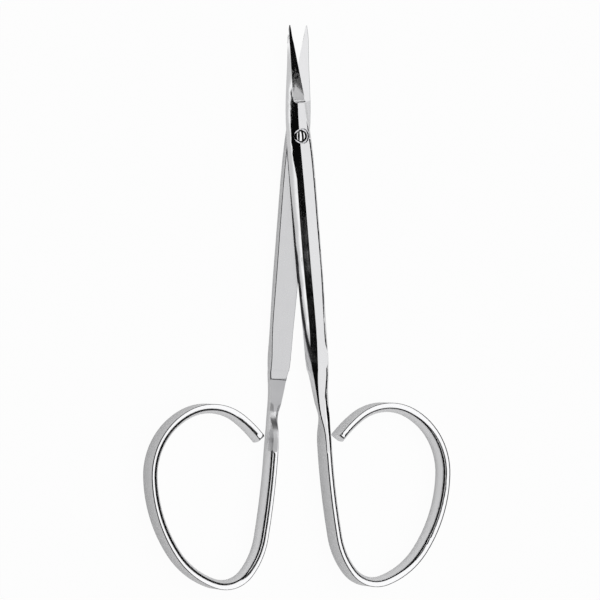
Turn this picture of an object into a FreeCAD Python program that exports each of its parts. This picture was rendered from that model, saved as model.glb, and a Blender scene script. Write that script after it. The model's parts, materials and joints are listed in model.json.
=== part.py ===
import FreeCAD, Part
import math
import os

import PartDesign
import Sketcher
from FreeCAD import Placement, Rotation, Vector

# Iris scissors with ribbon rings: two forged halves and the screw that they turn on.
#
# The scissors lie on their back on z = 0, with the tips along +Y and the finger rings along -Y. The
# rear half is below and the front half above. Both halves are one form: the rear one is the front
# one turned half a turn about its length, so it is drawn once.
#
# Each half is drawn in its own frame, with the pivot at the origin, +Y to the tip, +X to the
# cutting edge and the ring, and +Z out from the inner flat to the outer flat. Lengths are in
# millimetres and angles in degrees.

# Sizes of the whole
SIZES = {
    "half_thickness": 2.4,      # one half, from its inner flat to its outer flat
    "parting_gap": 0.05,        # between the two inner flats
    "half_opening": 4.3,        # turn of each half from the closed position
    # Edges of the shank
    "edge_break": 0.12,         # bevel where the inner flat meets the flank and the side
    "flank_radius": 10.0,       # slight swell of the flank across its height
    # Grinding of the flats
    "grind_allowance": 0.02,    # left on by the forging and ground off the flats
    "grind_beyond": 3.0,        # how far the blade's grinding cut runs past the blank
    "grind_reach": 120.0,       # farther from the pivot than any point of a half
    # Blade
    "edge_at_pivot": 2.826,     # the cutting edge, carried straight down to the pivot's height
    "edge_taper": 0.1352,       # how far the edge comes in for each millimetre towards the tip
    "ground_slope": 0.54,       # rise of the ground face from the cutting edge
    "shoulder_foot": 7.05,      # where the ground face ends
    "shoulder_fillet": 0.9,
    # Ribbon
    "ribbon_outer": 0.44,       # outer face of the ribbon where it leaves the shank
    "ribbon_inner": 1.5,        # where the crowned inner face meets the edge rounding
    "ribbon_crown": 2.22,       # top of the crown
    "ribbon_edge_left": 0.55,   # the flat of the ribbon's edge, between these two before grinding
    "ribbon_edge_right": 0.7,
    "ribbon_corner": 0.15,      # height of the outer corner's bevel
    "ribbon_drop": 0.25,        # height of the inner edge's rounding
    "ribbon_start": -60.0,      # where the shank has become ribbon
    "tongue_rounding": 1.0,     # corners of the ribbon's free end
    # Recess on the inner side between shank and ring
    "recess_step": -45.8,
    "recess_depth": 0.35,
    "recess_end": -49.5,
    "recess_runout": -53.0,
    "recess_fall": 0.3,         # how far past the inner flat the recess runs out
    # Pivot
    "screw_radius": 0.95,
    "running_clearance": 0.025,
    "thread_clearance": 0.01,
    "head_radius": 1.43,
    "head_clearance": 0.05,
    "seat_height": 1.3,         # floor of the counterbore above the inner flat
    "seat_clearance": 0.03,
    "dome_drop": 0.03,          # top of the head below the outer flat
    "rim_drop": 0.75,           # edge of the head below the outer flat
    "screw_chamfer": 0.1,
    "slot_width": 0.42,
    "slot_depth": 0.5,
    "slot_turn": 6.0,           # turn of the slot from the length of the scissors
}

# Stations along a half, from the tip to the end of the straight shank. The crease parts the flank
# from the bevel, and the side turns over towards the outer flat at the side height.
BLANK_COLUMNS = (
    "along", "left", "crease", "flat_left", "flat_right", "right", "crease_height", "side_height")
BLANK_STATIONS = {
    "tip": (21.0, -0.27, -0.05, 0.05, 0.2, 0.45, 0.5, 0.5),
    "blade": (15.0, -1.12, -0.55, 0.0, 0.6, 1.3, 1.05, 0.5),
    "ricasso": (11.0, -1.58, -0.92, -0.25, 0.7, 1.85, 1.22, 0.5),
    "heel": (5.0, -2.22, -1.35, -0.58, 0.82, 1.87, 1.5, 0.5),
    "pivot": (0.0, -2.4, -1.54, -0.6, 1.04, 1.97, 1.55, 1.3),
    "joint": (-6.0, -2.35, -1.48, -0.46, 1.34, 2.2, 1.55, 1.5),
    "waist": (-16.0, -2.3, -1.44, -0.29, 1.5, 2.32, 1.55, 1.5),
    "shank": (-30.0, -2.05, -1.2, -0.07, 1.56, 2.4, 1.55, 1.5),
    "ankle": (-39.0, -1.78, -1.08, 0.02, 1.44, 2.32, 1.55, 1.5),
    "foot": (-44.0, -1.58, -1.04, -0.17, 1.22, 2.17, 1.65, 1.5),
}

# Stations of the neck, where the section turns from shank to ribbon. The turn is 0 for the
# shank's section and 1 for the ribbon's, and the drop is how far the inner side has fallen.
NECK_COLUMNS = (
    "along", "left", "crease", "flat_left", "flat_right", "right", "crease_height", "turn", "drop")
NECK_STATIONS = {
    "neck_top": (-47.0, -1.05, -0.86, -0.39, 0.9, 1.93, 2.0, 0.12, 0.0),
    "neck_upper": (-50.0, -0.55, -0.65, -0.36, 0.48, 1.68, 2.17, 0.45, 0.0),
    "neck_middle": (-52.8, 0.08, -0.32, -0.12, 0.42, 1.62, 2.24, 0.8, 0.0),
    "neck_lower": (-55.3, 0.46, 0.2, 0.36, 0.52, 1.55, 2.25, 0.95, 1.75),
    "neck_end": (-57.7, 0.44, 0.38, 0.52, 0.66, 1.5, 2.25, 1.0, 2.4),
}

# Outer outline of the ring, from the shank down and round to the free end: radius and turn
RING_COLUMNS = ("radius", "turn")
RING_ARCS = {
    "ring_flank": (158.0, 5.8),
    "ring_bend": (15.2, 28.7),
    "ring_toe": (6.75, 69.9),
    "ring_sole": (15.8, 36.5),
    "ring_back": (27.3, 33.0),
    "ring_shoulder": (13.7, 64.9),
    "ring_top": (10.45, 64.4),
    "ring_tongue": (25.3, 13.2),
}


# Radius of an arc that looks straight, for a line that turns into an arc along the neck
NEARLY_STRAIGHT = 200

# Two points this close, in millimetres, are in one place
TOUCHING = 0.001

# How far the cutter of the slot reaches, as a share of the head's radius
SLOT_OVERRUN = 1.2


class Size:
    """A size with its value and the expression that binds a constraint to it."""

    def __init__(self, value, words):
        self.value = value
        self.words = words

    def __add__(self, other):
        other = as_size(other)
        return Size(self.value + other.value, "(%s + %s)" % (self.words, other.words))

    def __sub__(self, other):
        other = as_size(other)
        return Size(self.value - other.value, "(%s - %s)" % (self.words, other.words))

    def __rsub__(self, other):
        return as_size(other) - self

    def __mul__(self, other):
        other = as_size(other)
        return Size(self.value * other.value, "(%s * %s)" % (self.words, other.words))

    def __truediv__(self, other):
        other = as_size(other)
        return Size(self.value / other.value, "(%s / %s)" % (self.words, other.words))

    def __rtruediv__(self, other):
        return as_size(other) / self

    def __neg__(self):
        return Size(-self.value, "(0 - %s)" % self.words)


def as_size(thing):
    if isinstance(thing, Size):
        return thing
    return Size(float(thing), "%.6f" % thing if thing >= 0 else "(0 - %.6f)" % -thing)


def fill_sheet(document):
    """Put every size on the sheet under its own name and return the names with their sizes."""
    sheet = document.addObject("Spreadsheet::Sheet", "Sizes")
    named = dict(SIZES)
    tables = ((BLANK_STATIONS, BLANK_COLUMNS), (NECK_STATIONS, NECK_COLUMNS), (RING_ARCS, RING_COLUMNS))
    for table, columns in tables:
        for name, values in table.items():
            for column, value in zip(columns, values):
                named[name + "_" + column] = value
    sizes = {}
    for row, (name, value) in enumerate(named.items(), start=1):
        sheet.set("A%d" % row, name)
        sheet.set("B%d" % row, str(value))
        sheet.setAlias("B%d" % row, name)
        sizes[name] = Size(value, "Sizes." + name)
    document.recompute()
    return sizes


def between(first, second, share):
    return first + (second - first) * share


def curve_between(first, second, share):
    """Radius of a curve whose curvature goes evenly from that of first to that of second."""
    return 1.0 / (1.0 / first + (1.0 / second - 1.0 / first) * share)


def rounding_radius(run, drop):
    """Radius of an arc that leaves a flat smoothly and falls by drop over a run."""
    return (run * run + drop * drop) / (drop * 2)


def add_sketch(body, name, plane, offset=None, turn=None):
    """A sketch on one of the body's own planes, moved along the plane's normal."""
    sketch = body.newObject("Sketcher::SketchObject", name)
    support = [item for item in body.Origin.OriginFeatures if item.Role == plane][0]
    sketch.AttachmentSupport = [(support, "")]
    sketch.MapMode = "FlatFace"
    if turn is not None:
        sketch.AttachmentOffset = Placement(Vector(0, 0, 0), turn)
    if offset is not None:
        sketch.setExpression("AttachmentOffset.Base.z", offset.words)
    return sketch


def bind(sketch, kind, *where, size):
    """Add a constraint of one kind and bind it to a size."""
    number = sketch.addConstraint(Sketcher.Constraint(kind, *where, size.value))
    sketch.setExpression("Constraints[%d]" % number, size.words)


def arc_through(start, end, radius):
    """The shorter arc from start to end with its centre on the left."""
    chord = end - start
    depth = math.sqrt(radius ** 2 - chord.Length ** 2 / 4)
    normal = Vector(-chord.y, chord.x, 0) / chord.Length
    centre = (start + end) / 2 + normal * depth
    circle = Part.Circle(centre, Vector(0, 0, 1), radius)
    first = math.atan2(start.y - centre.y, start.x - centre.x)
    last = math.atan2(end.y - centre.y, end.x - centre.x)
    return Part.ArcOfCircle(circle, first, last if last > first else last + 2 * math.pi)


def draw_outline(sketch, corners, radii):
    """Close an outline through corners, counter-clockwise, with a line or an arc after each."""
    points = [Vector(across.value, up.value, 0) for across, up in corners]
    for index, radius in enumerate(radii):
        start = points[index]
        end = points[(index + 1) % len(points)]
        if radius is None:
            sketch.addGeometry(Part.LineSegment(start, end))
        else:
            sketch.addGeometry(arc_through(start, end, radius.value))
    for index in range(len(corners)):
        following = (index + 1) % len(corners)
        sketch.addConstraint(Sketcher.Constraint("Coincident", index, 2, following, 1))
    for index, (across, up) in enumerate(corners):
        bind(sketch, "DistanceX", -1, 1, index, 1, size=across)
        bind(sketch, "DistanceY", -1, 1, index, 1, size=up)
    for index, radius in enumerate(radii):
        if radius is not None:
            bind(sketch, "Radius", index, size=radius)


def shank_section(body, sizes, name):
    """The section of the blade and the shank at one station."""
    def at(column):
        return sizes[name + "_" + column]
    sketch = add_sketch(body, body.Label + "_" + name, "XZ_Plane", -at("along"))
    foot = -sizes["grind_allowance"]
    broken = sizes["edge_break"]
    top = sizes["half_thickness"] + sizes["grind_allowance"]
    corners = (
        (at("left") + broken, foot),
        (at("right") - broken, foot),
        (at("right"), broken),
        (at("right"), at("side_height")),
        (at("flat_right"), top),
        (at("flat_left"), top),
        (at("crease"), at("crease_height")),
        (at("left"), broken),
    )
    shoulder = rounding_radius(top - at("side_height"), at("right") - at("flat_right"))
    draw_outline(sketch, corners, (None, None, None, shoulder, None, None, sizes["flank_radius"], None))
    return sketch


def neck_section(body, sizes, name):
    """The section at one station of the neck, part shank and part ribbon."""
    def at(column):
        return sizes[name + "_" + column]
    sketch = add_sketch(body, body.Label + "_" + name, "XZ_Plane", -at("along"))
    turn = at("turn")
    foot = -at("drop")
    broken = sizes["edge_break"]
    top = sizes["half_thickness"] + sizes["grind_allowance"]
    corners = (
        (between(at("left") + broken, sizes["ribbon_edge_left"], turn), foot),
        (between(at("right") - broken, sizes["ribbon_edge_right"], turn), foot),
        (at("right"), foot + between(broken, sizes["ribbon_drop"], turn)),
        (at("right"), between(sizes["foot_side_height"], top - sizes["ribbon_drop"], turn)),
        (at("flat_right"), top),
        (at("flat_left"), top),
        (at("crease"), at("crease_height")),
        (at("left"), foot + between(broken, sizes["ribbon_corner"], turn)),
    )
    straight = as_size(NEARLY_STRAIGHT)
    high_run = corners[3][0] - corners[4][0]
    high_drop = corners[4][1] - corners[3][1]
    radii = (
        None,
        None,
        curve_between(straight, crown_radius(sizes), turn),
        rounding_radius(high_run, high_drop),
        None,
        None,
        curve_between(sizes["flank_radius"], straight, turn),
        None,
    )
    draw_outline(sketch, corners, radii)
    return sketch


def crown_radius(sizes):
    """Radius of the ribbon's inner face across its width."""
    top = sizes["half_thickness"] + sizes["grind_allowance"]
    rise = top - sizes["ribbon_drop"] + sizes["parting_gap"] / 2
    depth = sizes["ribbon_crown"] - sizes["ribbon_inner"]
    return (rise * rise + depth * depth) / (depth * 2)


def ribbon_section(body, sizes):
    """The section of the ribbon: flat outside, crowned inside, the same to both edges."""
    sketch = add_sketch(body, body.Label + "_ribbon", "XZ_Plane", -sizes["ribbon_start"])
    top = sizes["half_thickness"] + sizes["grind_allowance"]
    foot = -(top + sizes["parting_gap"])
    corners = (
        (sizes["ribbon_edge_left"], foot),
        (sizes["ribbon_edge_right"], foot),
        (sizes["ribbon_inner"], foot + sizes["ribbon_drop"]),
        (sizes["ribbon_inner"], top - sizes["ribbon_drop"]),
        (sizes["ribbon_edge_right"], top),
        (sizes["ribbon_edge_left"], top),
        (sizes["ribbon_outer"], top - sizes["ribbon_corner"]),
        (sizes["ribbon_outer"], foot + sizes["ribbon_corner"]),
    )
    rounding = rounding_radius(sizes["ribbon_inner"] - sizes["ribbon_edge_right"], sizes["ribbon_drop"])
    crown = crown_radius(sizes)
    draw_outline(sketch, corners, (None, None, crown, rounding, None, None, None, None))
    return sketch


def ring_path(body, sizes):
    """The ring's outer outline: arcs that run on into each other, from the shank to the free end."""
    sketch = add_sketch(body, body.Label + "_ring_path", "XY_Plane")
    position = Vector(sizes["ribbon_outer"].value, sizes["ribbon_start"].value, 0)
    heading = math.radians(-90)
    for radius, turn in RING_ARCS.values():
        centre = position + Vector(-math.sin(heading), math.cos(heading), 0) * radius
        first = heading - math.pi / 2
        last = first + math.radians(turn)
        sketch.addGeometry(Part.ArcOfCircle(Part.Circle(centre, Vector(0, 0, 1), radius), first, last))
        position = centre + Vector(math.cos(last), math.sin(last), 0) * radius
        heading = last + math.pi / 2
    bind(sketch, "DistanceX", -1, 1, 0, 1, size=sizes["ribbon_outer"])
    bind(sketch, "DistanceY", -1, 1, 0, 1, size=sizes["ribbon_start"])
    bind(sketch, "DistanceY", -1, 1, 0, 3, size=sizes["ribbon_start"])
    for index, name in enumerate(RING_ARCS):
        if index > 0:
            sketch.addConstraint(Sketcher.Constraint("Tangent", index - 1, 2, index, 1))
        bind(sketch, "Radius", index, size=sizes[name + "_radius"])
        number = sketch.addConstraint(
            Sketcher.Constraint("Angle", index, math.radians(sizes[name + "_turn"].value)))
        sketch.setExpression("Constraints[%d]" % number, sizes[name + "_turn"].words + " * 1 deg")
    return sketch


def add_loft(body, name, sections):
    loft = body.newObject("PartDesign::AdditiveLoft", body.Label + "_" + name)
    loft.Profile = sections[0]
    loft.Sections = sections[1:]
    return loft


def add_ring(body, sizes, profile):
    """Bend the ribbon round the ring's outline."""
    ring = body.newObject("PartDesign::AdditivePipe", body.Label + "_ring")
    ring.Profile = profile
    ring.Spine = ring_path(body, sizes)
    ring.Mode = "Standard"
    return ring


def cut_through(body, name, sketch, width):
    """Cut a profile out of the body, to half of a width on each side of its plane."""
    cut = body.newObject("PartDesign::Pocket", body.Label + "_" + name)
    cut.Profile = sketch
    cut.SideType = "Symmetric"
    cut.setExpression("Length", width.words)
    return cut


def grind_blade(body, sizes):
    """Grind the outer side of the blade to a flat face that ends at a concave shoulder."""
    slope = math.atan(sizes["ground_slope"].value)
    sketch = add_sketch(body, body.Label + "_grind_profile", "YZ_Plane", turn=Rotation(Vector(1, 0, 0), 1))
    sketch.setExpression("AttachmentOffset.Rotation.Angle", "atan(Sizes.ground_slope)")
    lean = Size(math.sin(slope), "sin(atan(Sizes.ground_slope))")

    def ground(along):
        return (sizes["edge_at_pivot"] - sizes["edge_taper"] * along) * lean
    far = sizes["tip_along"] + sizes["grind_beyond"]
    near = sizes["shoulder_foot"]
    above = sizes["half_thickness"] + sizes["grind_beyond"]
    fall = math.atan(sizes["edge_taper"].value * lean.value)
    radius = sizes["shoulder_fillet"].value
    end = Vector(far.value, ground(far).value, 0)
    foot = Vector(near.value, ground(near).value, 0)
    centre = foot + Vector(math.sin(fall), math.cos(fall), 0) * radius
    wall = Vector(centre.x - radius, centre.y, 0)
    wall_top = Vector(wall.x, above.value, 0)
    end_top = Vector(end.x, above.value, 0)
    circle = Part.Circle(centre, Vector(0, 0, 1), radius)
    sketch.addGeometry(Part.LineSegment(end, foot))
    sketch.addGeometry(Part.ArcOfCircle(circle, math.pi, 1.5 * math.pi - fall))
    sketch.addGeometry(Part.LineSegment(wall, wall_top))
    sketch.addGeometry(Part.LineSegment(wall_top, end_top))
    sketch.addGeometry(Part.LineSegment(end_top, end))
    sketch.addConstraint(Sketcher.Constraint("Tangent", 0, 2, 1, 2))
    sketch.addConstraint(Sketcher.Constraint("Tangent", 1, 1, 2, 1))
    for first in (2, 3):
        sketch.addConstraint(Sketcher.Constraint("Coincident", first, 2, first + 1, 1))
    sketch.addConstraint(Sketcher.Constraint("Coincident", 4, 2, 0, 1))
    sketch.addConstraint(Sketcher.Constraint("Vertical", 2))
    sketch.addConstraint(Sketcher.Constraint("Horizontal", 3))
    sketch.addConstraint(Sketcher.Constraint("Vertical", 4))
    bind(sketch, "DistanceX", -1, 1, 0, 1, size=far)
    bind(sketch, "DistanceY", -1, 1, 0, 1, size=ground(far))
    bind(sketch, "DistanceX", -1, 1, 0, 2, size=near)
    bind(sketch, "DistanceY", -1, 1, 0, 2, size=ground(near))
    bind(sketch, "DistanceY", -1, 1, 2, 2, size=above)
    bind(sketch, "Radius", 1, size=sizes["shoulder_fillet"])
    return cut_through(body, "grind", sketch, far)


def cut_recess(body, sizes):
    """Set the inner side back between the inner flat and the ribbon."""
    sketch = add_sketch(body, body.Label + "_recess_profile", "YZ_Plane")
    fall = -sizes["recess_fall"]
    depth = sizes["recess_depth"]
    corners = (
        (sizes["recess_runout"], fall),
        (sizes["recess_step"], fall),
        (sizes["recess_step"], as_size(0)),
        (sizes["recess_step"] - depth, depth),
        (sizes["recess_end"], depth),
    )
    draw_outline(sketch, corners, (None, None, depth, None, None))
    return cut_through(body, "recess", sketch, (sizes["foot_right"] + sizes["edge_break"]) * 2)


def grind_flat(body, sizes, name, level, near, outwards):
    """Grind the body plane at a level, from a place along it to beyond its tip."""
    sketch = add_sketch(body, body.Label + "_" + name + "_outline", "XY_Plane", level)
    reach = sizes["grind_reach"]
    corners = ((-reach, near), (reach, near), (reach, reach), (-reach, reach))
    draw_outline(sketch, corners, (None, None, None, None))
    cut = body.newObject("PartDesign::Pocket", body.Label + "_" + name)
    cut.Profile = sketch
    cut.Reversed = outwards
    cut.setExpression("Length", sizes["grind_beyond"].words)
    return cut


def grind_flats(body, sizes):
    """Grind the outer flat, the far edge of the ring and the inner flat."""
    outer = sizes["half_thickness"]
    far_edge = -(outer + sizes["parting_gap"])
    grind_flat(body, sizes, "outer_flat", outer, -sizes["grind_reach"], True)
    grind_flat(body, sizes, "ring_edge", far_edge, -sizes["grind_reach"], False)
    grind_flat(body, sizes, "inner_flat", as_size(0), sizes["recess_step"], False)


def drill(body, sizes, name, radius, floor=None):
    """Drill from the outer flat at the pivot, right through or down to a floor."""
    sketch = add_sketch(body, body.Label + "_" + name + "_circle", "XY_Plane", sizes["half_thickness"])
    sketch.addGeometry(Part.Circle(Vector(0, 0, 0), Vector(0, 0, 1), radius.value))
    sketch.addConstraint(Sketcher.Constraint("Coincident", 0, 3, -1, 1))
    bind(sketch, "Radius", 0, size=radius)
    hole = body.newObject("PartDesign::Pocket", body.Label + "_" + name)
    hole.Profile = sketch
    if floor is None:
        hole.Type = "ThroughAll"
    else:
        hole.setExpression("Length", (sizes["half_thickness"] - floor).words)
    return hole


def round_tongue(document, body, sizes, ring):
    """Round the corners of the ribbon's free end, where its end face meets the ground edges."""
    document.recompute()
    end = ring.Spine[0].Shape.OrderedVertexes[-1].Point
    outer = sizes["half_thickness"].value
    levels = (outer, -outer - sizes["parting_gap"].value)
    reach = sizes["ribbon_inner"].value
    corners = []
    for number, edge in enumerate(body.Tip.Shape.Edges, start=1):
        points = [vertex.Point for vertex in edge.Vertexes]
        near = all(math.hypot(point.x - end.x, point.y - end.y) < reach for point in points)
        if near and any(all(abs(point.z - level) < TOUCHING for point in points) for level in levels):
            corners.append("Edge%d" % number)
    before = body.Tip
    fillet = body.newObject("PartDesign::Fillet", body.Label + "_tongue")
    fillet.Base = (before, corners)
    fillet.setExpression("Radius", "Sizes.tongue_rounding")
    return fillet


def build_half(document, sizes, label):
    """One half up to its holes: blade, shank, neck and ring in one forging."""
    body = document.addObject("PartDesign::Body", label)
    body.Label = label
    blank = [shank_section(body, sizes, name) for name in BLANK_STATIONS]
    add_loft(body, "blank", blank)
    grind_blade(body, sizes)
    ribbon = ribbon_section(body, sizes)
    neck = [blank[-1]] + [neck_section(body, sizes, name) for name in NECK_STATIONS] + [ribbon]
    add_loft(body, "neck", neck)
    ring = add_ring(body, sizes, ribbon)
    grind_flats(body, sizes)
    cut_recess(body, sizes)
    round_tongue(document, body, sizes, ring)
    return body


def build_front_half(document, sizes):
    body = build_half(document, sizes, "front_half")
    drill(body, sizes, "counterbore", sizes["head_radius"] + sizes["head_clearance"], sizes["seat_height"])
    drill(body, sizes, "bore", sizes["screw_radius"] + sizes["running_clearance"])
    return body


def build_rear_half(document, sizes):
    body = build_half(document, sizes, "rear_half")
    drill(body, sizes, "bore", sizes["screw_radius"] + sizes["thread_clearance"])
    return body


def build_screw(document, sizes):
    """The pivot screw, standing on the rear half's outer flat with its head in the counterbore."""
    body = document.addObject("PartDesign::Body", "pivot_screw")
    body.Label = "pivot_screw"
    front_inner = sizes["half_thickness"] + sizes["parting_gap"]
    outer_flat = front_inner + sizes["half_thickness"]
    seat = front_inner + sizes["seat_height"] + sizes["seat_clearance"]
    rim = outer_flat - sizes["rim_drop"]
    top = outer_flat - sizes["dome_drop"]
    rise = top - rim
    dome = (sizes["head_radius"] * sizes["head_radius"] + rise * rise) / (rise * 2)
    middle = as_size(0)
    tip = sizes["screw_radius"] - sizes["screw_chamfer"]
    corners = (
        (middle, middle),
        (tip, middle),
        (sizes["screw_radius"], sizes["screw_chamfer"]),
        (sizes["screw_radius"], seat),
        (sizes["head_radius"], seat),
        (sizes["head_radius"], rim),
        (middle, top),
    )
    profile = add_sketch(body, "pivot_screw_profile", "XZ_Plane")
    draw_outline(profile, corners, (None, None, None, None, None, dome, None))
    turned = body.newObject("PartDesign::Revolution", "pivot_screw_turned")
    turned.Profile = profile
    turned.ReferenceAxis = (profile, ["V_Axis"])
    turned.Angle = 360
    slot = add_sketch(body, "pivot_screw_slot_outline", "XY_Plane", top, Rotation(Vector(0, 0, 1), 1))
    slot.setExpression("AttachmentOffset.Rotation.Angle", sizes["slot_turn"].words)
    half_width = sizes["slot_width"] / 2
    reach = sizes["head_radius"] * SLOT_OVERRUN
    corners = ((-half_width, -reach), (half_width, -reach), (half_width, reach), (-half_width, reach))
    draw_outline(slot, corners, (None, None, None, None))
    cut = body.newObject("PartDesign::Pocket", "pivot_screw_slot")
    cut.Profile = slot
    cut.setExpression("Length", sizes["slot_depth"].words)
    return body


def place(document, sizes, front_half, rear_half, screw):
    """Open the halves about the pivot and put the origin under the middle of the scissors."""
    opening = sizes["half_opening"].value
    thickness = sizes["half_thickness"].value
    upright = Vector(0, 0, 1)
    front_half.Placement = Placement(
        Vector(0, 0, thickness + sizes["parting_gap"].value), Rotation(upright, opening))
    rear_half.Placement = Placement(
        Vector(0, 0, thickness), Rotation(upright, -opening) * Rotation(Vector(0, 1, 0), 180))
    document.recompute()
    box = front_half.Shape.optimalBoundingBox()
    middle = (box.YMin + box.YMax) / 2
    for body in (front_half, rear_half, screw):
        body.Placement.Base = body.Placement.Base - Vector(0, middle, 0)
    print("pivot at y = %.6f" % -middle)


def check(document):
    document.recompute()
    for item in document.Objects:
        if "Invalid" in item.State or "Error" in item.State:
            raise RuntimeError("%s is in state %s" % (item.Label, item.State))


def main():
    document = FreeCAD.newDocument("IrisScissors")
    sizes = fill_sheet(document)
    front_half = build_front_half(document, sizes)
    rear_half = build_rear_half(document, sizes)
    screw = build_screw(document, sizes)
    place(document, sizes, front_half, rear_half, screw)
    check(document)
    os.makedirs("parts", exist_ok=True)
    for part in (front_half, rear_half, screw):
        if part.Shape.isNull() or not part.Shape.isValid():
            raise RuntimeError(part.Label + " has no valid shape")
        part.Shape.exportStep("parts/%s.step" % part.Label)
        print("%s: %.2f cubic mm, %d solid" % (part.Label, part.Shape.Volume, len(part.Shape.Solids)))


main()
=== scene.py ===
import json
import math

import bmesh
import bpy
from mathutils import Matrix, Vector


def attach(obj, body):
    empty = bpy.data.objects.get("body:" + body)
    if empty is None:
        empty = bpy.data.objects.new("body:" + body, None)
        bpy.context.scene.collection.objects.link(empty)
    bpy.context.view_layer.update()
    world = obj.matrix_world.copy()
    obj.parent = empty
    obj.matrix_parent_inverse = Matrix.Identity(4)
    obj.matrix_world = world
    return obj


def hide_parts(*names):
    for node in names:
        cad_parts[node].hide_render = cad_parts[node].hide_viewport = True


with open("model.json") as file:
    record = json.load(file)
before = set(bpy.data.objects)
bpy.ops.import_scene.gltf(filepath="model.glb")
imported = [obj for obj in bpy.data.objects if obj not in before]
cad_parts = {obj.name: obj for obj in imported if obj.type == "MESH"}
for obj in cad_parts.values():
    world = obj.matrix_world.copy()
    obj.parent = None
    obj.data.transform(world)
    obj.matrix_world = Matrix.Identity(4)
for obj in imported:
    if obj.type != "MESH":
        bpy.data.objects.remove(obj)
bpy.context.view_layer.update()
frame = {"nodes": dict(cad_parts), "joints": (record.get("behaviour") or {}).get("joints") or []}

# Iris scissors lying on their back: polished flanks and ribbons, satin flats in a lighter tone on
# the front half and a darker one on the rear as painted light and shade, a recess behind each flat
# painted darker as painted shade, a mirror ground face on each blade, edge breaks and ring corners
# painted near black as a painted dark reflection, and a polished screw whose slot is painted black
# as painted shade. Lengths are in metres, unless the comment over them says millimetres.

MM = 0.001
PIVOT = Vector(frame["joints"][0]["pos_m"])
HALF_OPENING = math.radians(4.3)

# Where one finish ends and the next begins along a half, in millimetres from the pivot
SHOULDER = 6.1
FLAT_END = -44.0
RECESS_STEP = -45.7
RECESS_RUNOUT = -52.0
RIBBON_START = -59.5

# The ribbon lies further to the side than the neck that it is bent out of, in millimetres
RING_SIDE = 2.7
RING_MIDDLE = Vector((12.5, -75.0))

# How upright the normal of a face is, by which its form is told. In the half's own frame it is 1
# on the outer flat, 0 on a wall and -1 on the inner flat.
LEVEL = 0.985
NEAR_LEVEL = 0.9
GROUND_SLOPE = 0.8
RECESS_SLOPE = 0.7
SOFT_SLOPE = 0.5
CORNER_SLOPE = 0.5
BREAK_SLOPE = 0.45
NECK_SLOPE = 0.3

# How far, at least, the ground face's normal leans towards the cutting edge
GROUND_LEAN = 0.3

# Corners closer than this are one, and edges that bend by more than this stay sharp
SAME_POINT = 0.5e-6
CREASE = math.radians(14)
SCREW_CREASE = math.radians(25)

# The faces of the screw's slot are above the head's foot and inside its rim. Its walls are at least
# this steep, and its bottom is level and larger than the dome's small facets, in square metres.
SCREW_HEAD_FOOT = 3.85 * MM
SLOT_REACH = 1.33 * MM
SLOT_WALL = 0.1
SLOT_BOTTOM = 0.999
SLOT_FACE_AREA = 0.01e-6

# Colours of the steel
POLISHED = (0.86, 0.86, 0.87, 1.0)
# One satin finish in two tones: lighter on the front half as painted light, darker on the rear as
# painted shade
FRONT_SATIN_PAINTED_LIT = (0.70, 0.70, 0.71, 1.0)
REAR_SATIN_PAINTED_SHADE = (0.57, 0.57, 0.58, 1.0)
BLADE_INNER = (0.71, 0.71, 0.72, 1.0)
# The recess is unpolished, and its colour is darkened as painted shade of the recess
RECESS_PAINTED_DARKER = (0.46, 0.46, 0.47, 1.0)
# Near black: a painted dark reflection on the edge breaks and the ribbon's outer corners
EDGE_PAINTED_REFLECTION_DARK = (0.12, 0.12, 0.13, 1.0)
# Near black: painted shade in the screw's slot
SLOT_PAINTED_SHADE = (0.05, 0.05, 0.05, 1.0)

# Grain: how many lines a metre has across it, the share of them that it has along it, and their
# height
WHEEL_GRAIN = 2500.0
STONE_GRAIN = 3000.0
BELT_GRAIN = 3500.0
GRAIN_ALONG = 0.04
GRAIN_HEIGHT = 0.02 * MM

# Unevenness of the roughness, from the grain and from cloudy patches
GRAIN_UNEVENNESS = 0.10
CLOUD_UNEVENNESS = 0.12
CLOUDS_PER_METRE = 420.0

# Hairline scratches: their slant in radians, how fine their noise is across and along them for
# each metre, and the strength of the noise where a scratch starts and where it is at full height
SCRATCH_SLANT = 0.5
SCRATCHES_ACROSS = 9000.0
SCRATCHES_ALONG = 350.0
SCRATCH_START = 0.66
SCRATCH_FULL = 0.70

# The ground face is worn matt at its foot: wholly up to the first place, in millimetres from the
# pivot, and no more from the second. From there it is mottled for a stretch.
WORN_END = 8.9
MIRROR_START = 10.1
MOTTLED_STRETCH = 3.0
WORN_ROUGHNESS = 0.45
WORN_METALLIC = 0.12
MOTTLED_ROUGHNESS = 0.2

# Patches shift the ends of both by millimetres, and the worn part ends sooner to the sides
PATCHES_PER_METRE = 1500.0
WORN_SHIFT = 2.5
MOTTLED_SHIFT = 8.0
WORN_SLANT = 0.9

# The share of the paper that glows, to the camera and to steel that is closer than the first
# length, in millimetres along the mirrored ray. To steel further than the second it all glows. The
# rest is plain paper, which takes the scissors' shadow. So steel sees the paper darker close to the
# scissors: partly their real shadow on the plain paper, partly painted shade by the ray's length.
# The last is the glow's light in the steel.
PAPER_SIZE = 3.0
PAPER = (0.9, 0.9, 0.9, 1.0)
GLOW_SEEN = 0.96
GLOW_CLOSE_PAINTED_SHADE = 0.2
CLOSE_REACH = 24.0
FAR_REACH = 70.0
MIRRORED_LIGHT = 1.1

# The studio as angles from straight above, across the scissors: the outer edges of the two long
# tents, and the gap between them that the camera looks through. Their ends are where the direction
# towards them has this height.
LEFT_EDGE = math.radians(-48.5)
RIGHT_EDGE = math.radians(52)
GAP_MIDDLE = math.radians(-27)
GAP_HALF_WIDTH = math.radians(13)
SOFT_EDGE = math.radians(1.5)
LOW_END = 0.46
SOFT_END = 0.1
TENT_LIGHT = 1.12
DARK_LIGHT = 0.003

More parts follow.
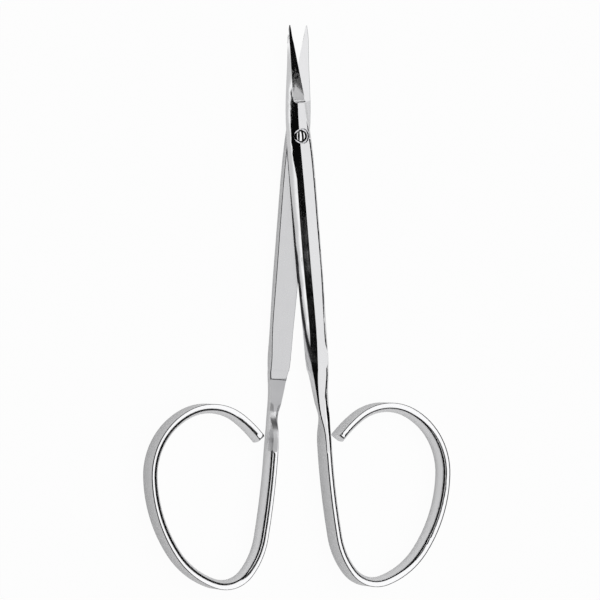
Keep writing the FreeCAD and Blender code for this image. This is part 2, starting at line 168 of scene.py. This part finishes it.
# The camera: the photograph was taken from the left of straight above, through a long lens
VIEW_TILT = math.radians(22)
PIXEL = 0.1883 * MM
FRAME_PIXELS = 600
TARGET = Vector((0.405 * MM, 1.245 * MM, 2.425 * MM))
CAMERA_DISTANCE = 1.1
NEAREST_SEEN = 0.01


class Wire:
    """A socket that takes part in Python expressions."""

    def __init__(self, graph, socket):
        self.graph = graph
        self.socket = socket

    def math(self, operation, *others):
        operands = dict(enumerate((self,) + others))
        return self.graph.add("ShaderNodeMath", {"operation": operation}, operands)

    def __add__(self, other):
        return self.math("ADD", other)

    def __sub__(self, other):
        return self.math("SUBTRACT", other)

    def __rsub__(self, other):
        return (self * -1.0) + other

    def __mul__(self, other):
        return self.math("MULTIPLY", other)


class Graph:
    """The nodes of one material or of the world."""

    def __init__(self, owner):
        owner.use_nodes = True
        self.tree = owner.node_tree
        self.tree.nodes.clear()

    def add(self, kind, settings=None, inputs=None, output=0):
        """Add a node with its settings and what its sockets hold or are linked to.

        It returns one of the node's outputs, or None where it has none.
        """
        node = self.tree.nodes.new(kind)
        for name, value in (settings or {}).items():
            if name == "stops":
                set_stops(node.color_ramp, value)
            else:
                setattr(node, name, value)
        for name, value in (inputs or {}).items():
            if isinstance(value, Wire):
                self.tree.links.new(value.socket, node.inputs[name])
            else:
                node.inputs[name].default_value = value
        return Wire(self, node.outputs[output]) if node.outputs else None

    def noise(self, place, scale, detail):
        return self.add("ShaderNodeTexNoise", inputs={
            "Vector": place, "Scale": scale, "Detail": detail})

    def along(self, vector, axis):
        """A vector's measure along one axis."""
        return self.add("ShaderNodeSeparateXYZ", inputs={0: vector}, output=axis)

    def ray(self, output):
        """What is known of the ray that asks."""
        return self.add("ShaderNodeLightPath", output=output)

    def ramp(self, value, *stops):
        """A value run through a grey ramp of (place, grey) stops."""
        return self.add("ShaderNodeValToRGB", {"stops": stops}, {"Fac": value})

    def step(self, value, first, last, low=0.0, high=1.0):
        """Low up to the first value, high from the last, and smooth between them."""
        return self.add("ShaderNodeMapRange", {"interpolation_type": "SMOOTHSTEP"}, {
            "Value": value, "From Min": first, "From Max": last, "To Min": low, "To Max": high})


def set_stops(ramp, stops):
    while len(ramp.elements) < len(stops):
        ramp.elements.new(1.0)
    for element, (place, grey) in zip(ramp.elements, stops):
        element.position = place
        element.color = (grey, grey, grey, 1.0)


def along_half(graph, side):
    """Object coordinates turned to run along one half, in metres from the pivot."""
    place = graph.add("ShaderNodeTexCoord", output="Object")
    return graph.add("ShaderNodeMapping", {"vector_type": "TEXTURE"}, {
        "Vector": place, "Location": tuple(PIVOT), "Rotation": (0, 0, side * HALF_OPENING)})


def grain_height(graph, place, fineness):
    """Fine lines along the piece, as a height from 0 to 1."""
    stretched = graph.add("ShaderNodeMapping", inputs={
        "Vector": place, "Scale": (fineness, fineness * GRAIN_ALONG, fineness)})
    return graph.noise(stretched, scale=1.0, detail=4.0)


def hairlines(graph, place):
    """A few short scratches at a slant to the piece, as a height from 0 to 1."""
    turned = graph.add("ShaderNodeMapping", inputs={
        "Vector": place,
        "Rotation": (0, 0, SCRATCH_SLANT),
        "Scale": (SCRATCHES_ACROSS, SCRATCHES_ALONG, SCRATCHES_ACROSS)})
    hair = graph.noise(turned, scale=1.0, detail=2.0)
    return graph.ramp(hair, (SCRATCH_START, 0.0), (SCRATCH_FULL, 1.0))


def worn_foot(graph, place, roughness):
    """Roughness and metallic of a face that is worn matt at its foot and mottled after that."""
    patches = graph.noise(place, scale=PATCHES_PER_METRE, detail=3.0) - 0.5
    along = graph.along(place, "Y") * (1 / MM)
    across = graph.along(place, "X") * (1 / MM)
    reach = along + patches * WORN_SHIFT + across.math("ABSOLUTE") * WORN_SLANT
    mottled = along + patches * MOTTLED_SHIFT
    mottled_end = MIRROR_START + MOTTLED_STRETCH
    mottled_roughness = roughness + MOTTLED_ROUGHNESS
    matt = graph.step(reach, WORN_END, MIRROR_START, WORN_ROUGHNESS - roughness, 0.0)
    marks = graph.step(mottled, MIRROR_START, mottled_end, mottled_roughness, roughness)
    metallic = graph.step(reach, WORN_END, MIRROR_START, WORN_METALLIC, 1.0)
    return matt + marks, metallic


def steel(name, side, colour, roughness, strength, grain, scratches=0.0, worn=False):
    """Stainless steel with a grain of some strength along the piece and hairlines across it."""
    material = bpy.data.materials.new(name)
    graph = Graph(material)
    place = along_half(graph, side)
    lines = grain_height(graph, place, grain)
    clouds = graph.noise(place, scale=CLOUDS_PER_METRE, detail=3.0)
    unevenness = (lines - 0.5) * GRAIN_UNEVENNESS + (clouds - 0.5) * CLOUD_UNEVENNESS
    level, metallic = worn_foot(graph, place, roughness) if worn else (roughness, 1.0)
    height = lines + hairlines(graph, place) * scratches
    bump = graph.add("ShaderNodeBump", inputs={
        "Strength": strength, "Distance": GRAIN_HEIGHT, "Height": height})
    shader = graph.add("ShaderNodeBsdfPrincipled", inputs={
        "Base Color": colour, "Metallic": metallic, "Roughness": unevenness + level, "Normal": bump})
    graph.add("ShaderNodeOutputMaterial", inputs={"Surface": shader})
    return material


# The finishes of a half by number, in the order in which finishes() makes their materials
POLISH, FLAT, GROUND, RIBBON, RECESS, BLADE_FLAT, NECK, PAINTED_DARK_EDGE = range(8)


def finishes(side, label, satin):
    """The materials of one half, each by its colour, roughness, and grain's strength and kind."""
    return [
        steel(label + "_polish", side, POLISHED, 0.09, 0.05, WHEEL_GRAIN),
        # The satin colour is the half's painted tone: lighter on the front, darker on the rear as
        # painted shade
        steel(label + "_flat", side, satin, 0.28, 0.15, BELT_GRAIN, scratches=0.3),
        steel(label + "_ground", side, POLISHED, 0.12, 0.08, STONE_GRAIN, scratches=0.3, worn=True),
        steel(label + "_ribbon", side, POLISHED, 0.14, 0.06, WHEEL_GRAIN),
        # Rough unpolished steel in the recess, with its colour darkened as painted shade
        steel(label + "_recess", side, RECESS_PAINTED_DARKER, 0.40, 0.2, STONE_GRAIN),
        steel(label + "_blade_inner", side, BLADE_INNER, 0.22, 0.1, BELT_GRAIN),
        steel(label + "_neck", side, BLADE_INNER, 0.34, 0.1, WHEEL_GRAIN),
        # Edge breaks and ribbon corners, painted near black as a painted dark reflection
        steel(label + "_edge", side, EDGE_PAINTED_REFLECTION_DARK, 0.35, 0.1, WHEEL_GRAIN),
    ]


def on_ribbon(place):
    """Whether a place in a half's own frame is on the ribbon, not on the blank."""
    return place.y < RIBBON_START or (place.y < RECESS_STEP and place.x > RING_SIDE)


def finish_of(centre, normal):
    """Which finish a face has, from its centre in millimetres and its normal in the half's frame."""
    if on_ribbon(centre):
        outward = (centre.xy - RING_MIDDLE).dot(normal.xy) > 0
        # The ribbon's outward corners are painted near black as a painted dark reflection
        return PAINTED_DARK_EDGE if outward and CORNER_SLOPE < abs(normal.z) < NEAR_LEVEL else RIBBON
    # The blank's edge breaks are painted near black as a painted dark reflection too
    if centre.y > RECESS_RUNOUT and -NEAR_LEVEL < normal.z < -BREAK_SLOPE:
        return PAINTED_DARK_EDGE
    if RECESS_RUNOUT < centre.y < RECESS_STEP and normal.z < -RECESS_SLOPE:
        return RECESS
    if centre.y < RECESS_RUNOUT and normal.z < -NECK_SLOPE:
        return NECK
    if RECESS_STEP < centre.y < FLAT_END and normal.z < -NEAR_LEVEL:
        return FLAT
    if abs(normal.z) > LEVEL:
        return BLADE_FLAT if centre.y > SHOULDER else FLAT
    if centre.y > SHOULDER and GROUND_SLOPE < normal.z < LEVEL and normal.x > GROUND_LEAN:
        return GROUND
    return POLISH


def merged_copy(node, crease):
    """A copy of a CAD node as one smooth skin with sharp edges kept."""
    mesh = frame["nodes"][node].data.copy()
    mesh.name = node + "_skin"
    skin = bmesh.new()
    skin.from_mesh(mesh)
    bmesh.ops.remove_doubles(skin, verts=skin.verts, dist=SAME_POINT)
    skin.to_mesh(mesh)
    skin.free()
    if mesh.has_custom_normals:
        mesh.attributes.remove(mesh.attributes["custom_normal"])
    mesh.polygons.foreach_set("use_smooth", [True] * len(mesh.polygons))
    mesh.set_sharp_from_angle(angle=crease)
    mesh.materials.clear()
    piece = bpy.data.objects.new(mesh.name, mesh)
    bpy.context.scene.collection.objects.link(piece)
    return piece


def soften_ribbon(mesh, own_place):
    """Let the light run smoothly over the ribbon's inner bevel, between its edge and its crown."""
    skin = bmesh.new()
    skin.from_mesh(mesh)
    for edge in skin.edges:
        if all(on_ribbon(own_place(vert.co)) for vert in edge.verts):
            sloping = all(abs(face.normal.z) > SOFT_SLOPE for face in edge.link_faces)
            edge.smooth = edge.smooth or sloping
    skin.to_mesh(mesh)
    skin.free()


def dress_half(node, body, side, satin):
    """Stand a smooth copy in for a half and give each of its faces its finish.

    The side is 1 for the front half, and -1 for the rear one, which is the same form turned over
    and opened the other way about the pivot.
    """
    piece = merged_copy(node, CREASE)
    for material in finishes(side, node, satin):
        piece.data.materials.append(material)
    to_own = Matrix.Rotation(-side * HALF_OPENING, 3, "Z")
    flip = Matrix.Diagonal((side, 1, side))

    def own_place(point):
        return flip @ (to_own @ (point - PIVOT)) / MM

    for face in piece.data.polygons:
        normal = flip @ (to_own @ face.normal)
        face.material_index = finish_of(own_place(face.center), normal)
    soften_ribbon(piece.data, own_place)
    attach(piece, body)
    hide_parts(node)


def dress_screw():
    """Stand a smooth copy in for the screw, polished but for its slot, which is painted black as
    painted shade.
    """
    piece = merged_copy("pivot_screw", SCREW_CREASE)
    piece.data.materials.append(steel("screw_polish", 1, POLISHED, 0.09, 0.05, WHEEL_GRAIN))
    # The slot's walls and bottom are painted black as painted shade
    piece.data.materials.append(steel("screw_slot_painted_shade", 1, SLOT_PAINTED_SHADE, 0.45, 0.2, STONE_GRAIN))
    for face in piece.data.polygons:
        inner = math.hypot(face.center.x, face.center.y - PIVOT.y) < SLOT_REACH
        wall = abs(face.normal.z) < SLOT_WALL and inner
        bottom = face.normal.z > SLOT_BOTTOM and face.area > SLOT_FACE_AREA
        if face.center.z > SCREW_HEAD_FOOT and (wall or bottom):
            face.material_index = 1
    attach(piece, "rear")
    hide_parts("pivot_screw")


def paper_floor():
    """A large white sheet under the scissors, which keeps their shadow and looks darker to steel
    close by, partly as painted shade.
    """
    bpy.ops.mesh.primitive_plane_add(size=PAPER_SIZE, location=(0, 0, 0))
    floor = bpy.context.object
    floor.name = "floor"
    material = bpy.data.materials.new("white_paper")
    graph = Graph(material)
    seen = graph.ray("Is Camera Ray")
    mirrored = graph.ray("Is Glossy Ray") + graph.ray("Is Transmission Ray")
    reach = graph.ray("Ray Length") * (1 / MM)
    matt = graph.add("ShaderNodeBsdfDiffuse", inputs={"Color": PAPER})
    light = seen + mirrored * MIRRORED_LIGHT
    glow = graph.add("ShaderNodeEmission", inputs={"Color": light, "Strength": 1.0})
    # Painted shade: the glow that steel sees falls off where the mirrored ray is short
    mirrored_share = mirrored * graph.step(reach, CLOSE_REACH, FAR_REACH, GLOW_CLOSE_PAINTED_SHADE, 1.0)
    share = seen * GLOW_SEEN + mirrored_share
    mixed = graph.add("ShaderNodeMixShader", inputs={0: share, 1: matt, 2: glow})
    graph.add("ShaderNodeOutputMaterial", inputs={"Surface": mixed})
    floor.data.materials.append(material)


def studio():
    """Two long white tents at the sides, dark beyond them and in the gap that the camera is in.

    The camera itself sees white past the paper's edge.
    """
    world = bpy.data.worlds.new("studio")
    bpy.context.scene.world = world
    graph = Graph(world)
    toward = graph.add("ShaderNodeTexCoord", output="Generated")
    height = graph.along(toward, "Z")
    lean = graph.along(toward, "X").math("ARCTAN2", height)
    left = graph.step(lean, LEFT_EDGE - SOFT_EDGE, LEFT_EDGE + SOFT_EDGE)
    right = graph.step(lean, RIGHT_EDGE - SOFT_EDGE, RIGHT_EDGE + SOFT_EDGE, 1.0, 0.0)
    aside = (lean - GAP_MIDDLE).math("ABSOLUTE")
    gap = graph.step(aside, GAP_HALF_WIDTH - SOFT_EDGE, GAP_HALF_WIDTH + SOFT_EDGE)
    ends = graph.step(height, LOW_END, LOW_END + SOFT_END)
    glow = left * right * gap * ends * TENT_LIGHT + DARK_LIGHT
    seen = graph.ray("Is Camera Ray")
    shown = glow * (1 - seen) + seen
    light = graph.add("ShaderNodeBackground", inputs={"Color": shown, "Strength": 1.0})
    graph.add("ShaderNodeOutputWorld", inputs={"Surface": light})


def camera():
    """The photograph's camera, looking down at the scissors from the left."""
    view = bpy.data.objects.new("camera", bpy.data.cameras.new("camera"))
    bpy.context.scene.collection.objects.link(view)
    back = Vector((-math.sin(VIEW_TILT), 0, math.cos(VIEW_TILT)))
    right = Vector((math.cos(VIEW_TILT), 0, math.sin(VIEW_TILT)))
    upward = Vector((0, 1, 0))
    turn = Matrix((right, upward, back)).transposed().to_4x4()
    view.matrix_world = Matrix.Translation(TARGET + back * CAMERA_DISTANCE) @ turn
    width = PIXEL * FRAME_PIXELS
    view.data.angle = 2 * math.atan(width / 2 / CAMERA_DISTANCE)
    view.data.clip_start = NEAREST_SEEN
    bpy.context.scene.camera = view


# The two halves share one satin finish, painted lighter on the front and darker on the rear as
# painted shade
dress_half("front_half", "front", 1, FRONT_SATIN_PAINTED_LIT)
dress_half("rear_half", "rear", -1, REAR_SATIN_PAINTED_SHADE)
dress_screw()
paper_floor()
studio()
camera()
bpy.context.scene.view_settings.view_transform = "Standard"
